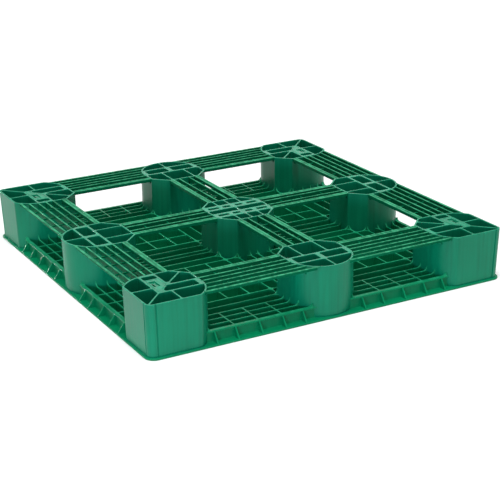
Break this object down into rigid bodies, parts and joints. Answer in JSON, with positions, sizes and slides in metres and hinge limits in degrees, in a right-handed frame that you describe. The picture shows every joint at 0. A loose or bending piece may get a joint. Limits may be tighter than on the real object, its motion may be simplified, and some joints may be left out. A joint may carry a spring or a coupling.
{
  "type": "plastic pallet",
  "caption": "Square four-way plastic pallet, underside up: closed ribbed deck, hollow blocks and a base frame of open runners around four windows.",
  "frame": {"origin": "centre of the load face, which the pallet lies on, underside up", "axes": "+Z from the load face to the feet, so it points down once the pallet is turned over for use; X and Y along the sides; -Y is the side called front"},
  "size_m": [1.1, 1.1, 0.15],
  "materials": {
    "deck": "moulded polypropylene, satin",
    "blocks": "moulded polypropylene, satin",
    "runners": "moulded polypropylene, satin",
    "tag_plates": "moulded polypropylene, satin"
  },
  "bodies": {
    "root": {"deck_panel": "deck", "centre_block": "blocks", "front_block": "blocks", "cross_runner_front": "runners", "runner_front_left": "runners", "runner_front_right": "runners", "right_block": "blocks", "cross_runner_right": "runners", "runner_right_front": "runners", "runner_right_back": "runners", "back_block": "blocks", "cross_runner_back": "runners", "runner_back_right": "runners", "runner_back_left": "runners", "left_block": "blocks", "cross_runner_left": "runners", "runner_left_back": "runners", "runner_left_front": "runners", "corner_block_front_left": "blocks", "tag_plate_front_left": "tag_plates", "corner_block_front_right": "blocks", "tag_plate_front_right": "tag_plates", "corner_block_back_left": "blocks", "tag_plate_back_left": "tag_plates", "corner_block_back_right": "blocks", "tag_plate_back_right": "tag_plates"}
  },
  "joints": []
}
